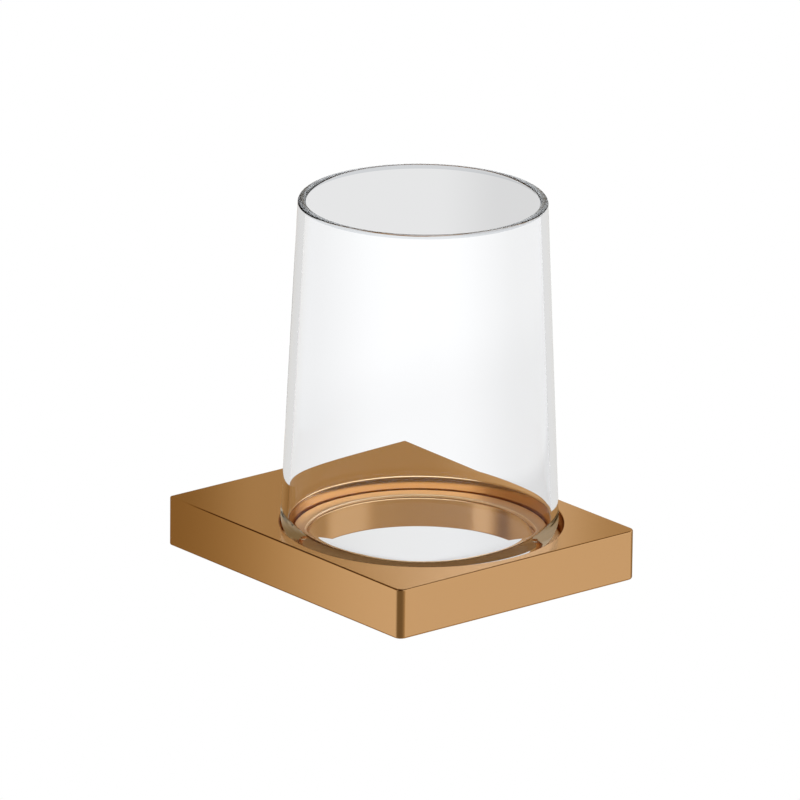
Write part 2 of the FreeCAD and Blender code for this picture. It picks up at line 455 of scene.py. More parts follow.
@dataclass(frozen=True)
class PlateBronze(SatinMetal):
    """Satin bronze with a painted dark reflection along the middle of the plate's rounded front corners.

    Attributes:
        half_width: half the plate's width.
        front: Y of the plate's front face.
        corner: radius of the front corners.
        painted_reflection_tone: tone of the painted dark reflection along the middle of a corner.
    """

    half_width: float = 44.0 * MM
    front: float = -106.0 * MM
    corner: float = 2.5 * MM
    painted_reflection_tone: float = 0.45

    def tone(self, tree: NodeTree, satin: bpy.types.Node) -> bpy.types.NodeSocket:
        """The group's tone, lowered near a corner to paint a dark reflection along its middle.

        A point's place is its distance inside the side face plus that inside the front face. It is
        r (2 - sqrt 2) in the middle of a corner of radius r, and r where the corner meets a face.
        """
        parts = tree.add("ShaderNodeSeparateXYZ", Vector=tree.add("ShaderNodeTexCoord").outputs["Object"])
        beside = tree.math("SUBTRACT", self.half_width, tree.math("ABSOLUTE", parts.outputs["X"]))
        behind = tree.math("SUBTRACT", parts.outputs["Y"], self.front)
        middle = self.corner * (2 - math.sqrt(2))
        inside = tree.math("ADD", beside, behind)
        # Painted dark reflection: the tone is lowest along the middle of each front corner.
        line = smooth_step(tree, inside, middle, self.corner * 0.85, self.painted_reflection_tone, 1.0)
        return tree.math("MULTIPLY", satin.outputs["Tone"], line)


@dataclass(frozen=True)
class SatinSilicone:
    """A soft moulding that is shaded as satin metal, to look like the plate.

    Attributes:
        name: name of the material.
        colour: colour of the silicone, linear.
        roughness: mean roughness.
        shine: Metallic of the shader; 1 makes it mirror as the plate does.
    """

    name: str
    colour: tuple[float, float, float]
    roughness: float = 0.5
    shine: float = 1.0

    def material(self, group: bpy.types.NodeTree) -> bpy.types.Material:
        """Build the material around the shared satin group."""
        material, tree, shader = new_material(self.name)
        satin = satin_node(tree, group, Roughness=self.roughness, Grain_Size=4000.0, Cloud=0.06)
        paint(tree, shader, self.colour, satin.outputs["Tone"], satin.outputs["Roughness"])
        shader.inputs["Metallic"].default_value = self.shine
        return material


@dataclass(frozen=True)
class MouldedNylon:
    """Moulded grey nylon.

    Attributes:
        name: name of the material.
        colour: colour of the nylon, linear.
    """

    name: str
    colour: tuple[float, float, float] = (0.23, 0.24, 0.25)

    def material(self, group: bpy.types.NodeTree) -> bpy.types.Material:
        """Build the material: a waxy surface with faint flow marks."""
        material, tree, shader = new_material(self.name)
        satin = satin_node(tree, group, Roughness=0.42, Grain_Size=1500.0, Grain=0.1, Cloud=0.12)
        paint(tree, shader, self.colour, satin.outputs["Tone"], satin.outputs["Roughness"])
        raise_surface(tree, shader, 0.2, 0.00005, satin.outputs["Height"])
        return material


@dataclass(frozen=True)
class BrushedSteel:
    """Stainless steel brushed along X.

    Attributes:
        name: name of the material.
        colour: colour of the steel, linear.
        roughness: roughness between the brush marks.
    """

    name: str
    colour: tuple[float, float, float] = (0.58, 0.57, 0.55)
    roughness: float = 0.3

    def material(self) -> bpy.types.Material:
        """Build the material: noise drawn out along X drives the colour, the roughness and a bump."""
        material, tree, shader = new_material(self.name)
        place = tree.add("ShaderNodeTexCoord").outputs["Object"]
        drawn = tree.add("ShaderNodeMapping", Vector=place, Scale=(60.0, 9000.0, 9000.0))
        marks = tree.add("ShaderNodeTexNoise", Vector=drawn.outputs[0], Scale=1.0, Detail=3.0)
        tone = smooth_step(tree, marks.outputs[0], 0.3, 0.7, 0.82, 1.0)
        rough = smooth_step(tree, marks.outputs[0], 0.3, 0.7, self.roughness + 0.12, self.roughness)
        paint(tree, shader, self.colour, tone, rough)
        raise_surface(tree, shader, 0.3, FINE_BUMP, marks.outputs[0])
        shader.inputs["Metallic"].default_value = 1.0
        return material


@dataclass(frozen=True)
class ClearGlass:
    """Polished clear glass.

    Attributes:
        name: name of the material.
        colour: colour of what passes through.
        ior: index of refraction.
        gloss: how strong the reflections are head on.
        calm: share of the surface that only bends light, so a grazing face mirrors less than real glass.
    """

    name: str
    colour: tuple[float, float, float] = (0.995, 0.997, 1.0)
    ior: float = 1.5
    gloss: float = 0.4
    calm: float = 0.85

    def material(self) -> bpy.types.Material:
        """Build the material: full transmission and a faint unevenness of the pressed wall.

        Where light is turned back inside the glass, its Fresnel share is 1 and the surface mirrors fully.
        """
        material, tree, shader = new_material(self.name)
        place = tree.add("ShaderNodeTexCoord").outputs["Object"]
        wave = tree.add("ShaderNodeTexNoise", Vector=place, Scale=45.0, Detail=1.0)
        normal = raise_surface(tree, shader, 0.04, 0.0004, wave.outputs[0])
        shader.inputs["Base Color"].default_value = (*self.colour, 1.0)
        shader.inputs["Roughness"].default_value = 0.0
        shader.inputs["IOR"].default_value = self.ior
        shader.inputs["Transmission Weight"].default_value = 1.0
        shader.inputs["Specular Tint"].default_value = (self.gloss, self.gloss, self.gloss, 1.0)
        bend = tree.add("ShaderNodeBsdfRefraction", Color=(*self.colour, 1.0), Roughness=0.0, IOR=self.ior,
                        Normal=normal)
        fresnel = tree.add("ShaderNodeFresnel", IOR=self.ior, Normal=normal)
        let_out = tree.math("LESS_THAN", fresnel.outputs[0], TURNED_BACK)
        share = tree.math("MULTIPLY", let_out, self.calm)
        mixed = tree.add("ShaderNodeMixShader", i0=share, i1=shader.outputs[0], i2=bend.outputs[0])
        show(material, mixed)
        return material


# ---------------------------------------------------------------------------------------------- pieces


@dataclass
class HolderPlate:
    """The metal plate with its stepped hole, the bracket's pocket and the two tapped holes."""

    low: np.ndarray
    high: np.ndarray
    hole_centre: np.ndarray
    web: float = 3.0 * MM
    front_corner: float = 2.5 * MM
    rear_corner: float = 0.8 * MM
    top_edge: float = 0.5 * MM
    bottom_edge: float = 0.7 * MM
    recess_depth: float = 6.2 * MM
    through_radius: float = 34.0 * MM
    lip: float = 0.45 * MM
    pocket_half_length: float = 33.0 * MM
    pocket_half_height: float = 5.0 * MM
    pocket_depth: float = 10.0 * MM
    grub_hole_radius: float = 2.0 * MM
    grub_half_spacing: float = 10.0 * MM
    grub_y: float = -4.0 * MM
    arc_points: int = 9
    round_points: int = 256

    @property
    def recess_radius(self) -> float:
        """Radius of the recess: half the plate's width less the web beside it."""
        return (self.high[0] - self.low[0]) / 2 - self.web

    def outline(self) -> np.ndarray:
        """The plate seen from above, anticlockwise from its rear left corner."""
        (left, front), (right, rear) = self.low[:2], self.high[:2]
        corners = [(left, rear, self.rear_corner), (left, front, self.front_corner),
                   (right, front, self.front_corner), (right, rear, self.rear_corner)]
        return rounded_path(corners, True, 13)

    def edge_band(self, loop: np.ndarray) -> tuple[list[Patch], np.ndarray, np.ndarray]:
        """The outer sides with both rounded edges; the flat of the rear face is left open.

        Args:
            loop: the plate's outline.

        Returns:
            The patches, and the loops where the band meets the top and the bottom face.
        """
        top, bottom = self.high[2], self.low[2]
        upper = rounded_path([(2 * self.top_edge, top, 0), (0, top, self.top_edge), (0, 0, 0)], False,
                             self.arc_points)[1:-1]
        low_corners = [(0, 0, 0), (0, bottom, self.bottom_edge), (2 * self.bottom_edge, bottom, 0)]
        lower = rounded_path(low_corners, False, self.arc_points)[1:-1]
        outward = loop_outward(loop)
        above, below = swept_ring(loop, outward, upper), swept_ring(loop, outward, lower)
        count = len(loop)
        wall = np.stack([above[-1], below[0]])
        walls = [f for f in grid_faces(2, count, True) if {count - 1, 0} - set(f)]
        patches = [(above.reshape(-1, 3), grid_faces(len(upper), count, True)),
                   (below.reshape(-1, 3), grid_faces(len(lower), count, True)),
                   (wall.reshape(-1, 3), walls)]
        return patches, above, below

    def hole_section(self) -> np.ndarray:
        """Section (radius, height) of the stepped hole, from the top face down to the bottom face."""
        top, bottom, lip = self.high[2], self.low[2], self.lip
        ledge = top - self.recess_depth
        corners = [(self.recess_radius + lip, top, 0), (self.recess_radius, top, lip * 0.98),
                   (self.recess_radius, ledge, lip), (self.through_radius, ledge, lip / 2),
                   (self.through_radius, bottom, lip * 0.98), (self.through_radius + lip, bottom, 0)]
        return rounded_path(corners, False, self.arc_points)

    def obround(self, y: float) -> np.ndarray:
        """The pocket's outline at depth y: two level runs joined by half circles."""
        half, tall = self.pocket_half_length, self.pocket_half_height
        turn = np.linspace(-np.pi / 2, np.pi / 2, 25)
        right = np.stack([half - tall + tall * np.cos(turn), tall * np.sin(turn)], axis=1)
        flat = np.concatenate([right, -right])
        return np.column_stack([flat[:, 0], np.full(len(flat), y), flat[:, 1]])

    def rear_patches(self, above: np.ndarray, below: np.ndarray) -> list[Patch]:
        """The rear face round the pocket, and the pocket's own walls and floor.

        Args:
            above: rows of points of the band's upper rounding.
            below: rows of points of its lower rounding.

        Returns:
            The patches.
        """
        face = np.stack([above[-1, -1], above[-1, 0], below[0, 0], below[0, -1]])
        mouth, floor = self.obround(0.0), self.obround(-self.pocket_depth)
        count = len(mouth)
        low_run = count - 1
        walls = [f for f in grid_faces(2, count, True) if {low_run, 0} - set(f)]
        side = np.stack([mouth[-1], mouth[0], floor[0], floor[-1]])
        holes = [np.column_stack([ring[:, 0], ring[:, 1], np.full(len(ring), side[0, 2])])
                 for ring in self.grub_rings()]
        return [flat_patch([face, mouth]), (np.concatenate([mouth, floor]), walls),
                flat_patch([side, *holes]), flat_patch([floor])]

    def grub_rings(self) -> list[np.ndarray]:
        """Plan circles of the two tapped holes."""
        return [circle(x, self.grub_y, self.grub_hole_radius, 32)
                for x in (-self.grub_half_spacing, self.grub_half_spacing)]

    def build(self) -> bpy.types.Object:
        """Join all faces into one closed piece."""
        loop = self.outline()
        patches, above, below = self.edge_band(loop)
        section = self.hole_section()
        centre = np.array([*self.hole_centre, 0.0])
        patches.append(turned(section, centre, 2, self.round_points))
        upper_ring = circle(*self.hole_centre, section[0, 0], self.round_points)
        lower_ring = circle(*self.hole_centre, section[-1, 0], self.round_points)
        grubs = self.grub_rings()
        patches.append(flat_patch([above[0], lifted(upper_ring, self.high[2])]))
        patches.append(flat_patch([below[-1], lifted(lower_ring, self.low[2]),
                                   *[lifted(ring, self.low[2]) for ring in grubs]]))
        for ring in grubs:
            wall = np.concatenate([lifted(ring, self.low[2]), lifted(ring, -self.pocket_half_height)])
            patches.append((wall, grid_faces(2, len(ring), True)))
        patches.extend(self.rear_patches(above, below))
        return make_piece("plate_body", patches)


@dataclass
class Tumbler:
    """The glass: a thick base with round corners, tapering walls and a rounded rim."""

    centre: np.ndarray
    seat_z: float
    rim_z: float
    base_radius: float = 40.5 * MM
    rim_radius: float = 35.8 * MM
    wall: float = 2.3 * MM
    base: float = 2.6 * MM
    outer_corner: float = 7.0 * MM
    inner_corner: float = 6.5 * MM
    rim_rounding: float = 1.0 * MM
    round_points: int = 256

    def profile(self) -> np.ndarray:
        """Section (radius, height) from the underside's middle, over the rim, to the floor's middle."""
        floor = self.seat_z + self.base
        corners = [(0.0, self.seat_z, 0), (self.base_radius, self.seat_z, self.outer_corner),
                   (self.rim_radius, self.rim_z, self.rim_rounding),
                   (self.rim_radius - self.wall, self.rim_z, self.rim_rounding),
                   (self.base_radius - self.wall, floor, self.inner_corner), (0.0, floor, 0)]
        return rounded_path(corners, False, 17)

    def build(self) -> bpy.types.Object:
        """Turn the section about the tumbler's axis."""
        centre = np.array([*self.centre, 0.0])
        return make_piece("tumbler_glass", [turned(self.profile(), centre, 2, self.round_points)], 80.0)

    def paint_rim_shade(self, piece: bpy.types.Object, material: bpy.types.Material) -> None:
        """Give the rim's rounding its own material, a grey-tinted glass that paints the shade its reflections
        make.
        """
        piece.data.materials.append(material)
        faces = piece.data.polygons
        centres = np.zeros(3 * len(faces))
        faces.foreach_get("center", centres)
        on_rim = centres[2::3] > self.rim_z - self.rim_rounding
        faces.foreach_set("material_index", on_rim.astype(int))


@dataclass
class SeatRing:
    """The soft ring under the glass."""

    low: np.ndarray
    high: np.ndarray
    inner_radius: float = 34.4 * MM
    edge: float = 0.3 * MM
    round_points: int = 192

    def build(self) -> bpy.types.Object:
        """Turn the ring's round-cornered section."""
        outer = (self.high[0] - self.low[0]) / 2
        bottom, top = self.low[2], self.high[2]
        corners = [(self.inner_radius, bottom, self.edge), (outer, bottom, self.edge),
                   (outer, top, self.edge), (self.inner_radius, top, self.edge)]
        section = rounded_path(corners, True, 7)
        centre = np.array([*(self.low[:2] + self.high[:2]) / 2, 0.0])
        section = np.concatenate([section, section[:1]])
        return make_piece("seat_ring_soft", [turned(section, centre, 2, self.round_points)], 80.0)


@dataclass
class WallScrew:
    """A countersunk wall screw with a cross recess and a rolled thread."""

    low: np.ndarray
    high: np.ndarray
    side: str
    head_radius: float = 3.9 * MM
    shank_radius: float = 1.45 * MM
    crest_radius: float = 2.0 * MM
    head_edge: float = 0.25 * MM
    neck: float = 1.9 * MM
    thread_start: float = 6.5 * MM
    tip: float = 3.5 * MM
    pitch: float = 1.8 * MM
    rows_per_turn: int = 12
    round_points: int = 36
    recess_half_length: float = 2.1 * MM
    recess_half_width: float = 0.5 * MM
    recess_depth: float = 1.9 * MM

    def thread(self) -> np.ndarray:
        """Threaded shank as a grid of points.

        At height h and angle a, the radius is the shank's plus a ridge. The ridge is a narrow tent over the
        phase h / pitch - a / full turn. The ridge fades in where the thread starts, and the whole radius
        narrows along the tip.
        """
        length = self.high[1] - self.low[1]
        rows = int((length - self.thread_start) / self.pitch * self.rows_per_turn)
        height = np.linspace(self.thread_start, length, rows)[:, None]
        angle = np.linspace(0, 2 * np.pi, self.round_points, endpoint=False)[None]
        phase = (height / self.pitch - angle / (2 * np.pi)) % 1.0
        ridge = np.clip(1 - np.abs(phase - 0.5) * 3.2, 0, 1)
        ridge = ridge * np.clip((height - self.thread_start) / self.pitch, 0, 1)
        narrowing = np.clip((length - height) / self.tip, 0.02, 1)
        radius = (self.shank_radius + (self.crest_radius - self.shank_radius) * ridge) * narrowing
        return np.stack([radius * np.sin(angle), height + 0 * radius, radius * np.cos(angle)], -1)

    def cross(self, height: float) -> np.ndarray:
        """Outline of the cross recess at one height."""
        wide, thin = self.recess_half_length, self.recess_half_width
        arm = np.array([(wide, -thin), (wide, thin), (thin, thin)])
        turns = [arm @ np.array([[math.cos(a), math.sin(a)], [-math.sin(a), math.cos(a)]])
                 for a in np.arange(4) * math.pi / 2]
        flat = np.concatenate(turns)
        return np.column_stack([flat[:, 0], np.full(len(flat), height), flat[:, 1]])

    def build(self) -> bpy.types.Object:
        """Join the head, its recess, the neck, the thread and the point."""
        place = mouth_centre(self.low, self.high)
        corners = [(self.head_radius - 2 * self.head_edge, 0, 0), (self.head_radius, 0, self.head_edge / 2),
                   (self.crest_radius, self.neck, 1.2 * MM), (self.crest_radius, 4.5 * MM, 0.8 * MM),
                   (self.shank_radius, self.thread_start, 0)]
        head = rounded_path(corners, False, 5)
        body = turned(head, place, 1, self.round_points)
        thread = self.thread()
        rim = body[0][:self.round_points]
        mouth, floor = self.cross(0.0) + place, self.cross(self.recess_depth) + place
        walls = (np.concatenate([mouth, floor]), grid_faces(2, len(mouth), True))
        patches = [body, ((thread + place).reshape(-1, 3), grid_faces(len(thread), self.round_points, True)),
                   flat_patch([rim, mouth]), walls, flat_patch([floor]), flat_patch([thread[-1] + place])]
        return make_piece("wall_screw_thread_" + self.side, patches, 40.0)


@dataclass
class WallPlug:
    """A nylon expansion plug: a plain collar, barbed halves parted by a slit, and a closed nose."""

    low: np.ndarray
    high: np.ndarray
    side: str
    collar: float = 1.6 * MM
    barb_pitch: float = 2.4 * MM
    barb_depth: float = 0.38 * MM
    bore_radius: float = 1.85 * MM
    bore_depth: float = 28.6 * MM
    slit_start: float = 9.0 * MM
    slit_end: float = 27.6 * MM
    slit_half_width: float = 0.4 * MM
    row: float = 0.3 * MM
    round_points: int = 96

    def build(self) -> bpy.types.Object:
        """Outer and inner walls on one grid, with the slit's cells left out and its sides closed.

        Between the collar and the nose the outer radius falls by a sawtooth, barb_depth deep and barb_pitch
        long.
        """
        outer = (self.high[0] - self.low[0]) / 2
        length = self.high[1] - self.low[1]
        place = mouth_centre(self.low, self.high)
        rows = int(self.bore_depth / self.row)
        height = np.linspace(0, self.bore_depth, rows)[:, None]
        half_slit = math.asin(self.slit_half_width / self.bore_radius)
        angle = np.linspace(0, 2 * np.pi, self.round_points, endpoint=False) + np.pi / self.round_points
        angle = angle[None]
        barb = ((height - self.collar) / self.barb_pitch) % 1.0
        ribbed = (height > self.collar) & (height < self.bore_depth - self.barb_pitch / 2)
        wide = outer - self.barb_depth * np.where(ribbed, barb, 0.0) + 0 * angle
        wide = np.where(height > self.bore_depth - self.row / 2, outer - self.barb_depth, wide)
        walls = [np.stack([r * np.cos(angle), height + 0 * r, r * np.sin(angle)], -1) + place
                 for r in (wide, np.full_like(wide, self.bore_radius))]
        across = np.abs((angle[0] + np.pi / 2) % np.pi - np.pi / 2) < half_slit
        along = (height[:-1, 0] > self.slit_start) & (height[1:, 0] < self.slit_end)
        open_cell = along[:, None] & (across & np.roll(across, -1))[None]
        quads = grid_faces(rows, self.round_points, True)
        kept = [quad for quad, gone in zip(quads, open_cell.ravel()) if not gone]
        count = rows * self.round_points
        both = np.concatenate([wall.reshape(-1, 3) for wall in walls])
        sides = [[a, b, b + count, a + count] for a, b in border_edges(kept, rows, self.round_points)]
        patches = [(both, kept + [[i + count for i in quad] for quad in kept] + sides)]
        mouth = [wall[0] for wall in walls]
        root = outer - self.barb_depth
        nose = np.array([(root, self.bore_depth), (root, length - 0.6 * MM),
                         (outer - 2.2 * self.barb_depth, length), (0.0, length)])
        reach, rise = nose[:, :1], nose[:, 1:]
        nose_walls = np.stack([reach * np.cos(angle), rise + 0 * angle, reach * np.sin(angle)], -1)
        closed = ((nose_walls + place).reshape(-1, 3), grid_faces(len(nose), self.round_points, True))
        patches += [flat_patch(mouth), closed, flat_patch([walls[1][-1]])]
        return make_piece("wall_plug_ribbed_" + self.side, patches, 30.0)


# ---------------------------------------------------------------------------------------------- studio


@dataclass(frozen=True)
class Studio:
    """The camera."""

    target: tuple[float, float, float] = (0.0, -55.0 * MM, 32.5 * MM)
    azimuth: float = -39.442
    elevation: float = 18.247
    roll: float = 0.620
    distance: float = 3.070
    lens: float = 479.14
    aim_right: float = -2.059 * MM
    aim_up: float = 9.318 * MM

    def axes(self) -> tuple[np.ndarray, np.ndarray, np.ndarray]:
        """The camera's right, up and back directions."""
        az, el, roll = (math.radians(a) for a in (self.azimuth, self.elevation, self.roll))
        back = np.array([math.sin(az) * math.cos(el), -math.cos(az) * math.cos(el), math.sin(el)])
        level = np.array([math.cos(az), math.sin(az), 0.0])
        rise = np.cross(back, level)
        right = level * math.cos(roll) + rise * math.sin(roll)
        return right, np.cross(back, right), back

    def camera(self) -> None:
        """Place the camera and make it the scene's."""
        right, up, back = self.axes()
        place = np.array(self.target) + back * self.distance
        aim = np.array(self.target) + right * self.aim_right + up * self.aim_up
        look = (place - aim) / np.linalg.norm(place - aim)
        side = np.cross(up, look)
        side /= np.linalg.norm(side)
        turn = Matrix(np.stack([side, np.cross(look, side), look], axis=1).tolist()).to_4x4()
        data = bpy.data.cameras.new("camera")
        data.lens, data.sensor_width, data.clip_end = self.lens, 36.0, 50.0
        camera = bpy.data.objects.new("camera", data)
        camera.matrix_world = Matrix.Translation(place.tolist()) @ turn
        bpy.context.scene.collection.objects.link(camera)
        bpy.context.scene.camera = camera


STAGE_HALF = 2.0
WALL_GAP = 0.6 * MM
FLOOR_Z = -0.5
LIGHT_BOUNCES = 64
WORLD_RELAYED = (2.3, 3.0, 4.0)
SEEN_GREY = 0.93
EDGE_GREY = 0.75
RIM_GREY = 1.25
FOOT_COLOUR = (0.29, 0.24, 0.18)
RELAY_FADE = (0.83, 0.785, 0.72)
RELAY_STEPS = 6.0
WALL_FACES = 3.5
EDGE_MIRRORS = 2.5
RIM_MIRRORS = 24.5
STRIP_SLOPE = 0.52
PLATE_HALF_WIDTH = 44.0 * MM
PLATE_HALF_THICKNESS = 7.5 * MM


def three_lamps(tree: NodeTree, along: bpy.types.NodeSocket) -> bpy.types.NodeSocket:
    """The studio's wall as metal mirrors it: a wide lamp on the left, a dim one, and a bright one.

    Args:
        tree: the wall's node tree.
        along: the point's X.

    Returns:
        The sum of one smooth step for each edge of a lamp.
    """
    left = smooth_step(tree, along, -0.13, -0.04, 0.95, 0.35)
    middle = smooth_step(tree, along, -0.04, -0.01, 0.0, 0.22)
    right = smooth_step(tree, along, 0.05, 0.10, 0.0, 0.28)
    past_right = smooth_step(tree, along, 0.10, 0.13, 0.0, -0.25)
    return tree.math("ADD", tree.math("ADD", left, middle), tree.math("ADD", right, past_right))


def soft_glow(tree: NodeTree, along: bpy.types.NodeSocket) -> bpy.types.NodeSocket:
    """Glow on the wall behind the tumbler: brightest in the middle and falling off evenly to both sides."""
    rise = smooth_step(tree, along, 0.0, 0.04, 0.90, 1.02)
    fall = smooth_step(tree, along, 0.06, 0.10, 0.0, -0.12)
    return tree.math("ADD", rise, fall)


@dataclass(frozen=True)
class StudioLight:
    """What one side of the studio sends to each kind of ray.

    What is seen straight is white, and so is the light on matt surfaces. What is seen through clear glass is
    a little greyer, and what metal mirrors is tinted warm. What is mirrored and then comes through glass
    depends on how it came. Through the tumbler's wall alone it is EDGE_GREY, or RIM_GREY where the wall
    carried it to the rim. Through the wall and the round foot it is FOOT_COLOUR where it was mirrored more
    than once. Elsewhere each mirror after the second turns it browner, each colour by its power.

    Attributes:
        warm: the group that colours what metal mirrors.
        open_shade: shade of what is mirrored in the open.
        relayed: colour of what is mirrored and then comes through glass.
        seen_grey: grey of what is seen through glass.
    """

    warm: bpy.types.NodeTree
    open_shade: bpy.types.NodeSocket
    relayed: bpy.types.NodeSocket
    seen_grey: bpy.types.NodeSocket

    def colour(self, tree: NodeTree) -> bpy.types.NodeSocket:
        """Sort the rays by what they passed and give each its colour."""
        rays = tree.add("ShaderNodeLightPath")
        mirrors, faces = rays.outputs["Glossy Depth"], rays.outputs["Transmission Depth"]
        bent = rays.outputs["Is Transmission Ray"]
        relayed = tree.math("MULTIPLY", bent, tree.math("GREATER_THAN", mirrors, 0.5))
        through = tree.math("SUBTRACT", bent, relayed)
        wall_alone = tree.math("LESS_THAN", faces, WALL_FACES)
        edge = tree.math("MULTIPLY", wall_alone, tree.math("LESS_THAN", mirrors, EDGE_MIRRORS))
        rim = tree.math("MULTIPLY", wall_alone, tree.math("GREATER_THAN", mirrors, RIM_MIRRORS))
        again = tree.math("GREATER_THAN", mirrors, 1.5)
        foot = tree.math("MULTIPLY", tree.math("COMPARE", faces, 5.0, 1.5), again)
        extra = tree.math("MAXIMUM", tree.math("SUBTRACT", mirrors, 2.0), 0.0)
        later = tree.math("MINIMUM", extra, RELAY_STEPS)
        fades = [tree.math("POWER", fade, later) for fade in RELAY_FADE]
        faded = tree.add("ShaderNodeCombineColor", Red=fades[0], Green=fades[1], Blue=fades[2])
        browned = tree.add("ShaderNodeMix", {"data_type": "RGBA", "blend_type": "MULTIPLY"}, i0=1.0,
                           i6=self.relayed, i7=faded.outputs[0])
        red, green, blue = FOOT_COLOUR
        foot_colour = tree.add("ShaderNodeCombineColor", Red=red, Green=green, Blue=blue)
        colour = browned.outputs[2]
        tinted = tree.add("ShaderNodeGroup", {"node_tree": self.warm}, Shade=self.open_shade).outputs[0]
        straight = tree.math("MAXIMUM", rays.outputs["Is Camera Ray"], rays.outputs["Is Diffuse Ray"])
        not_relayed = tree.math("SUBTRACT", 1.0, relayed)
        for share, other in ((foot, foot_colour.outputs[0]), (edge, plain_grey(tree, EDGE_GREY)),
                             (rim, plain_grey(tree, RIM_GREY)), (not_relayed, tinted),
                             (through, plain_grey(tree, self.seen_grey)),
                             (straight, plain_grey(tree, 1.0))):
            mixed = tree.add("ShaderNodeMix", {"data_type": "RGBA"}, i0=share, i6=colour, i7=other)
            colour = mixed.outputs[2]
        return colour


def open_wall_shade(tree: NodeTree, along: bpy.types.NodeSocket,
                    height: bpy.types.NodeSocket) -> bpy.types.NodeSocket:
    """How bright the wall stands in the metal: three lamps, dark above and below a sloping strip.

    The strip is what the flat faces mirror; its middle line leaves the plate's rear left corner with a slope
    of STRIP_SLOPE. A point's place is its height over the strip's upper line, or under its lower one, divided
    by its distance from that corner.

    Args:
        tree: the wall's node tree.
        along: the point's X.
        height: the point's Z.

    Returns:
        The shade.
    """
    side = tree.math("ADD", along, PLATE_HALF_WIDTH)
    reach = tree.math("ADD", tree.math("ABSOLUTE", side), tree.math("ABSOLUTE", height))
    reach = tree.math("ADD", reach, 0.004)
    above = tree.math("SUBTRACT", height, PLATE_HALF_THICKNESS)
    over = tree.math("SUBTRACT", above, tree.math("MULTIPLY", side, STRIP_SLOPE))
    left = tree.math("MULTIPLY", tree.math("MINIMUM", side, 0.0), STRIP_SLOPE)
    under = tree.math("SUBTRACT", left, tree.math("ADD", height, PLATE_HALF_THICKNESS))
    upper = smooth_step(tree, tree.math("DIVIDE", over, reach), 0.35, 0.6, 1.0, 0.15)
    lower = smooth_step(tree, tree.math("DIVIDE", under, reach), 0.3, 0.55, 1.0, 0.7)
    return tree.math("MULTIPLY", three_lamps(tree, along), tree.math("MULTIPLY", upper, lower))


def seen_wall_grey(tree: NodeTree, along: bpy.types.NodeSocket,
                   height: bpy.types.NodeSocket) -> bpy.types.NodeSocket:
    """How grey the wall is through glass: painted shade that only rays through the glass see.

    Through both sides of the tumbler it is brightest behind the tumbler's middle, and darker below the plate,
    where a shadow is painted. Through one side only, as over the rim, it is darker.

    Args:
        tree: the wall's node tree.
        along: the point's X.
        height: the point's Z.

    Returns:
        The grey.
    """
    faces = tree.add("ShaderNodeLightPath").outputs["Transmission Depth"]
    # Painted shadow: the wall is greyer below the plate.
    low = smooth_step(tree, height, -0.022, -0.012, 0.82, 0.95)
    high = smooth_step(tree, height, 0.015, 0.04, 0.0, 0.05)
    both = tree.math("MULTIPLY", soft_glow(tree, along), tree.math("ADD", low, high))
    one = smooth_step(tree, along, 0.055, 0.085, 0.80, 0.70)
    share = tree.math("LESS_THAN", faces, WALL_FACES)
    return tree.add("ShaderNodeMix", i0=share, i2=both, i3=one).outputs[0]


def stage_sheet(name: str, corners: list) -> tuple[NodeTree, bpy.types.NodeSocket]:
    """One sheet of the stage, with an empty material.

    Args:
        name: name of the sheet.
        corners: its four corners.

    Returns:
        The material's node builder and the coordinates of a point on the sheet.
    """
    mesh = bpy.data.meshes.new(name)
    mesh.from_pydata(corners, [], [(0, 1, 2, 3)])
    piece = bpy.data.objects.new(name, mesh)
    bpy.context.scene.collection.objects.link(piece)
    material = bpy.data.materials.new(name + "_paint")
    material.use_nodes = True
    material.node_tree.nodes.clear()
    mesh.materials.append(material)
    tree = NodeTree(material.node_tree)
    return tree, tree.add("ShaderNodeTexCoord").outputs["Object"]


def one_sided(tree: NodeTree, front: bpy.types.NodeSocket, hidden) -> None:
    """Finish a sheet's material: front on its face, and clear from behind and wherever hidden is 1."""
    clear = tree.add("ShaderNodeBsdfTransparent")
    back = tree.add("ShaderNodeNewGeometry").outputs["Backfacing"]
    gone = tree.math("MAXIMUM", back, hidden)
    both = tree.add("ShaderNodeMixShader", i0=gone, i1=front, i2=clear.outputs[0])
    tree.link(both.outputs[0], tree.add("ShaderNodeOutputMaterial").inputs["Surface"])


def wall(warm: bpy.types.NodeTree) -> None:
    """The white wall behind the plate."""
    half, y = STAGE_HALF, WALL_GAP
    corners = [(-half, y, -half), (half, y, -half), (half, y, half), (-half, y, half)]
    tree, place = stage_sheet("wall", corners)
    parts = tree.add("ShaderNodeSeparateXYZ", Vector=place)
    along, height = parts.outputs["X"], parts.outputs["Z"]
    relayed_shade = smooth_step(tree, along, 0.0, 0.08, 0.60, 1.05)
    relayed = tree.add("ShaderNodeGroup", {"node_tree": warm}, Shade=relayed_shade)
    light = StudioLight(warm, open_wall_shade(tree, along, height), relayed.outputs[0],
                        seen_wall_grey(tree, along, height))
    glow = tree.add("ShaderNodeEmission", Color=light.colour(tree), Strength=1.0)
    one_sided(tree, glow.outputs[0], tree.add("ShaderNodeLightPath").outputs["Is Shadow Ray"])


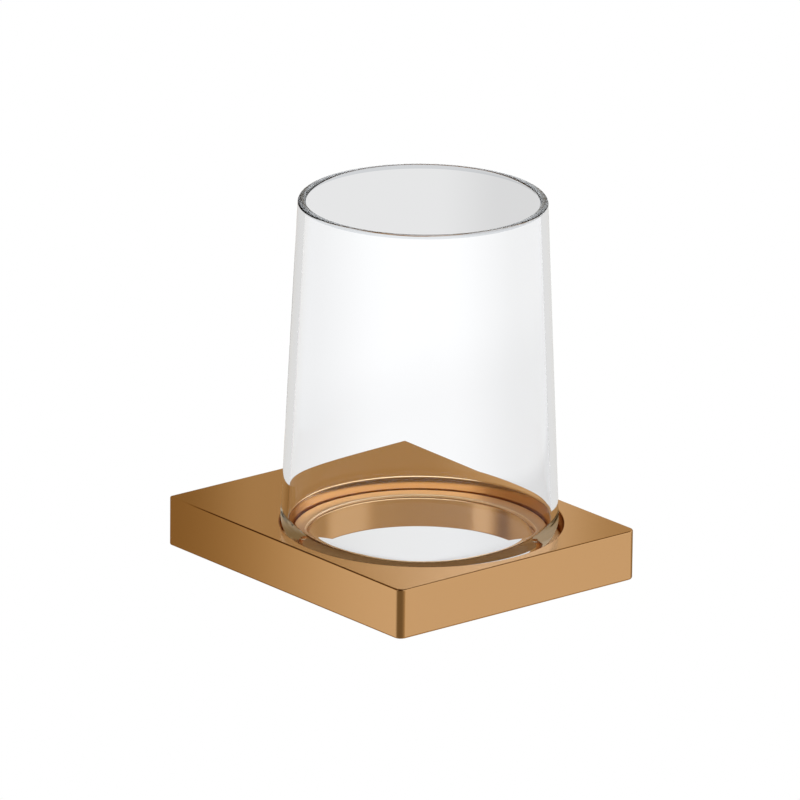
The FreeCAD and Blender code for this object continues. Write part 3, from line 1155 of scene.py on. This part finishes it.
def floor(warm: bpy.types.NodeTree) -> None:
    """The pale floor far below, lightest where the plate's front face mirrors it."""
    half, z = STAGE_HALF, FLOOR_Z
    corners = [(-half, -half, z), (half, -half, z), (half, half, z), (-half, half, z)]
    tree, place = stage_sheet("floor", corners)
    away = tree.add("ShaderNodeVectorMath", {"operation": "DISTANCE"}, i0=place, i1=(0.96, -1.16, z))
    shade = smooth_step(tree, away.outputs["Value"], 0.45, 0.9, 0.95, 0.57)
    light = StudioLight(warm, shade, plain_grey(tree, SEEN_GREY), SEEN_GREY)
    glow = tree.add("ShaderNodeEmission", Color=light.colour(tree), Strength=1.0)
    paint = tree.add("ShaderNodeBsdfDiffuse", Color=(0.85, 0.85, 0.85, 1))
    rays = tree.add("ShaderNodeLightPath")
    bent = tree.math("MAXIMUM", rays.outputs["Is Glossy Ray"], rays.outputs["Is Transmission Ray"])
    front = tree.add("ShaderNodeMixShader", i0=bent, i1=paint.outputs[0], i2=glow.outputs[0])
    one_sided(tree, front.outputs[0], 0.0)


def world(warm: bpy.types.NodeTree) -> None:
    """Soft studio surroundings: white to the lens and through glass, a dark ceiling in what is mirrored.

    Args:
        warm: the group that colours what metal mirrors.
    """
    space = bpy.data.worlds.new("studio")
    bpy.context.scene.world = space
    space.use_nodes = True
    tree = NodeTree(space.node_tree)
    space.node_tree.nodes.clear()
    direction = tree.add("ShaderNodeTexCoord").outputs["Generated"]
    parts = tree.add("ShaderNodeSeparateXYZ", Vector=direction)
    ceiling = smooth_step(tree, parts.outputs["Z"], 0.45, 0.65, 1.0, 0.12)
    away = (-0.77, -0.64, 0.0)
    behind = tree.add("ShaderNodeVectorMath", {"operation": "DOT_PRODUCT"}, i0=direction, i1=away)
    dark_room = smooth_step(tree, behind.outputs["Value"], 0.75, 0.92, 1.0, 0.15)
    red, green, blue = WORLD_RELAYED
    relayed = tree.add("ShaderNodeCombineColor", Red=red, Green=green, Blue=blue)
    light = StudioLight(warm, tree.math("MULTIPLY", ceiling, dark_room), relayed.outputs[0], SEEN_GREY)
    background = tree.add("ShaderNodeBackground", Color=light.colour(tree), Strength=1.0)
    tree.link(background.outputs[0], tree.add("ShaderNodeOutputWorld").inputs["Surface"])


def dress(piece: bpy.types.Object, material: bpy.types.Material, slot: Slot, body: Body, *nodes: str) -> None:
    """Give a piece its material, its body and the nodes that it stands for."""
    piece.data.materials.append(material)
    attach(piece, body.value)
    if nodes:
        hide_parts(*nodes)
    LOG.info("%s stands for %s", piece.name, ", ".join(nodes))


def redress(node: str, material: bpy.types.Material) -> None:
    """Give a carried-over node one new material."""
    slots = frame["nodes"][node].data.materials
    slots.clear()
    slots.append(material)
    LOG.info("%s is now %s", node, material.name)


def fixings(satin: bpy.types.NodeTree) -> None:
    """Build or dress the hidden fixings: bracket, wall screws, plugs and set screws."""
    redress("wall_bracket", BrushedSteel("brushed_stainless").material())
    zinc = SatinMetal("bright_zinc", (0.62, 0.63, 0.64), 0.22, 3000.0, 0.1, (1.0, 1.0, 1.0)).material(satin)
    dark = SatinMetal("dark_stainless", (0.19, 0.19, 0.2), 0.3, 3000.0, 0.1, (0.8, 0.8, 0.8)).material(satin)
    nylon = MouldedNylon("grey_nylon").material(satin)
    for side in ("left", "right"):
        screw_box = [np.array(c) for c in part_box("wall_screw_" + side)]
        plug_box = [np.array(c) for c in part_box("wall_plug_" + side)]
        dress(WallScrew(*screw_box, side).build(), zinc, Slot.SCREW, Body.HOLDER, "wall_screw_" + side)
        dress(WallPlug(*plug_box, side).build(), nylon, Slot.PLUG, Body.HOLDER, "wall_plug_" + side)
        redress("grub_screw_" + side, dark)


def main() -> None:
    """Build the pieces in order, then the studio."""
    logging.basicConfig(level=logging.INFO, format="%(message)s")
    plate_low, plate_high = (np.array(c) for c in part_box("holder_plate"))
    glass_low, glass_high = (np.array(c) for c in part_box("tumbler"))
    ring_low, ring_high = (np.array(c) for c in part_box("seat_ring"))
    hole_centre = (ring_low[:2] + ring_high[:2]) / 2
    satin = satin_group()
    bronze = PlateBronze("satin_rose_bronze", (0.61, 0.355, 0.163), 0.16).material(satin)
    plate = HolderPlate(plate_low, plate_high, hole_centre).build()
    dress(plate, bronze, Slot.PLATE, Body.HOLDER, "holder_plate")
    tumbler = Tumbler((glass_low[:2] + glass_high[:2]) / 2, glass_low[2], glass_high[2])
    glass = tumbler.build()
    dress(glass, ClearGlass("clear_crystal").material(), Slot.GLASS, Body.GLASS, "tumbler")
    # The rim gets a grey-tinted glass: painted shade for the grey that its reflections make.
    tumbler.paint_rim_shade(glass, ClearGlass("crystal_rim_painted_shade", (0.78, 0.80, 0.82)).material())
    ring = SeatRing(ring_low, ring_high).build()
    silicone = SatinSilicone("satin_silicone", (0.95, 0.63, 0.34)).material(satin)
    dress(ring, silicone, Slot.SEAT, Body.HOLDER, "seat_ring")
    fixings(satin)
    Studio().camera()
    warm = warm_group()
    wall(warm)
    floor(warm)
    world(warm)
    scene = bpy.context.scene
    scene.view_settings.view_transform = "Standard"
    bounces = scene.cycles
    bounces.max_bounces = bounces.glossy_bounces = bounces.transmission_bounces = LIGHT_BOUNCES


if __name__ == "__main__":
    main()
